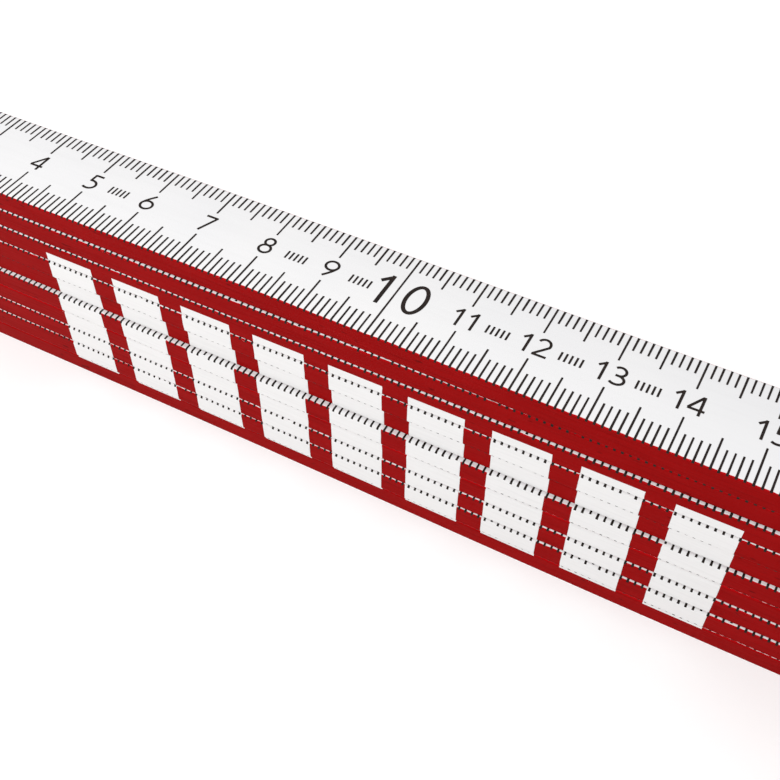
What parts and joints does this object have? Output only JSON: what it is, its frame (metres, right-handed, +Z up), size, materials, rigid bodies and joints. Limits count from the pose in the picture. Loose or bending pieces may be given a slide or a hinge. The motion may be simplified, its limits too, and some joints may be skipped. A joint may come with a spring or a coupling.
{
  "type": "folding rule",
  "caption": "Wooden folding rule with millimetre scales on both faces, folded into a flat stack on riveted spring-plate joints.",
  "frame": {"origin": "under the middle of the folded stack, on the surface it lies on", "axes": "+X along the slats, with the numbers of the first slat; +Y across the width, away from the reader's edge; +Z up the stack"},
  "size_m": [0.236, 0.0166, 0.0339],
  "materials": {
    "painted_wood": "smooth satin white paint over beech",
    "edge_paint": "dark red gloss paint on the slats' edges",
    "scale_ink": "matt brown-black printing ink",
    "side_print": "white printed blocks on the red edges",
    "plate_brass": "brass-plated spring steel, rubbed satin",
    "small_rivet_brass": "plain brass",
    "pivot_steel": "nickel-plated steel, turned faces",
    "washer_steel": "plain stamped steel"
  },
  "bodies": {
    "leaf_1": {"slat_1": "painted_wood", "plate_rivets_1": "small_rivet_brass", "upper_plate_1": "plate_brass", "pivot_rivet_1": "pivot_steel", "start_cap": "plate_brass"},
    "leaf_2": {"slat_2": "painted_wood", "plate_rivets_2": "small_rivet_brass", "upper_plate_2": "plate_brass", "pivot_rivet_2": "pivot_steel", "lower_plate_1": "plate_brass", "rivet_washer_1": "washer_steel"},
    "leaf_3": {"slat_3": "painted_wood", "plate_rivets_3": "small_rivet_brass", "upper_plate_3": "plate_brass", "pivot_rivet_3": "pivot_steel", "lower_plate_2": "plate_brass", "rivet_washer_2": "washer_steel"},
    "leaf_4": {"slat_4": "painted_wood", "plate_rivets_4": "small_rivet_brass", "upper_plate_4": "plate_brass", "pivot_rivet_4": "pivot_steel", "lower_plate_3": "plate_brass", "rivet_washer_3": "washer_steel"},
    "leaf_5": {"slat_5": "painted_wood", "plate_rivets_5": "small_rivet_brass", "upper_plate_5": "plate_brass", "pivot_rivet_5": "pivot_steel", "lower_plate_4": "plate_brass", "rivet_washer_4": "washer_steel"},
    "leaf_6": {"slat_6": "painted_wood", "plate_rivets_6": "small_rivet_brass", "upper_plate_6": "plate_brass", "pivot_rivet_6": "pivot_steel", "lower_plate_5": "plate_brass", "rivet_washer_5": "washer_steel"},
    "leaf_7": {"slat_7": "painted_wood", "plate_rivets_7": "small_rivet_brass", "upper_plate_7": "plate_brass", "pivot_rivet_7": "pivot_steel", "lower_plate_6": "plate_brass", "rivet_washer_6": "washer_steel"},
    "leaf_8": {"slat_8": "painted_wood", "plate_rivets_8": "small_rivet_brass", "upper_plate_8": "plate_brass", "pivot_rivet_8": "pivot_steel", "lower_plate_7": "plate_brass", "rivet_washer_7": "washer_steel"},
    "leaf_9": {"slat_9": "painted_wood", "plate_rivets_9": "small_rivet_brass", "upper_plate_9": "plate_brass", "pivot_rivet_9": "pivot_steel", "lower_plate_8": "plate_brass", "rivet_washer_8": "washer_steel"},
    "leaf_10": {"slat_10": "painted_wood", "plate_rivets_10": "small_rivet_brass", "lower_plate_9": "plate_brass", "rivet_washer_9": "washer_steel", "end_cap": "plate_brass"}
  },
  "joints": [
    {"name": "fold_1", "type": "hinge", "parent": "leaf_2", "child": "leaf_1", "pos_m": [0.098, 0, 0.03055], "axis": [0, 0, 1], "range_deg": [-180, 180]},
    {"name": "fold_2", "type": "hinge", "parent": "leaf_3", "child": "leaf_2", "pos_m": [-0.098, 0, 0.02715], "axis": [0, 0, 1], "range_deg": [-180, 180]},
    {"name": "fold_3", "type": "hinge", "parent": "leaf_4", "child": "leaf_3", "pos_m": [0.098, 0, 0.02375], "axis": [0, 0, 1], "range_deg": [-180, 180]},
    {"name": "fold_4", "type": "hinge", "parent": "leaf_5", "child": "leaf_4", "pos_m": [-0.098, 0, 0.02035], "axis": [0, 0, 1], "range_deg": [-180, 180]},
    {"name": "fold_5", "type": "hinge", "parent": "leaf_6", "child": "leaf_5", "pos_m": [0.098, 0, 0.01695], "axis": [0, 0, 1], "range_deg": [-180, 180]},
    {"name": "fold_6", "type": "hinge", "parent": "leaf_7", "child": "leaf_6", "pos_m": [-0.098, 0, 0.01355], "axis": [0, 0, 1], "range_deg": [-180, 180]},
    {"name": "fold_7", "type": "hinge", "parent": "leaf_8", "child": "leaf_7", "pos_m": [0.098, 0, 0.01015], "axis": [0, 0, 1], "range_deg": [-180, 180]},
    {"name": "fold_8", "type": "hinge", "parent": "leaf_9", "child": "leaf_8", "pos_m": [-0.098, 0, 0.00675], "axis": [0, 0, 1], "range_deg": [-180, 180]},
    {"name": "fold_9", "type": "hinge", "parent": "leaf_10", "child": "leaf_9", "pos_m": [0.098, 0, 0.00335], "axis": [0, 0, 1], "range_deg": [-180, 180]}
  ]
}
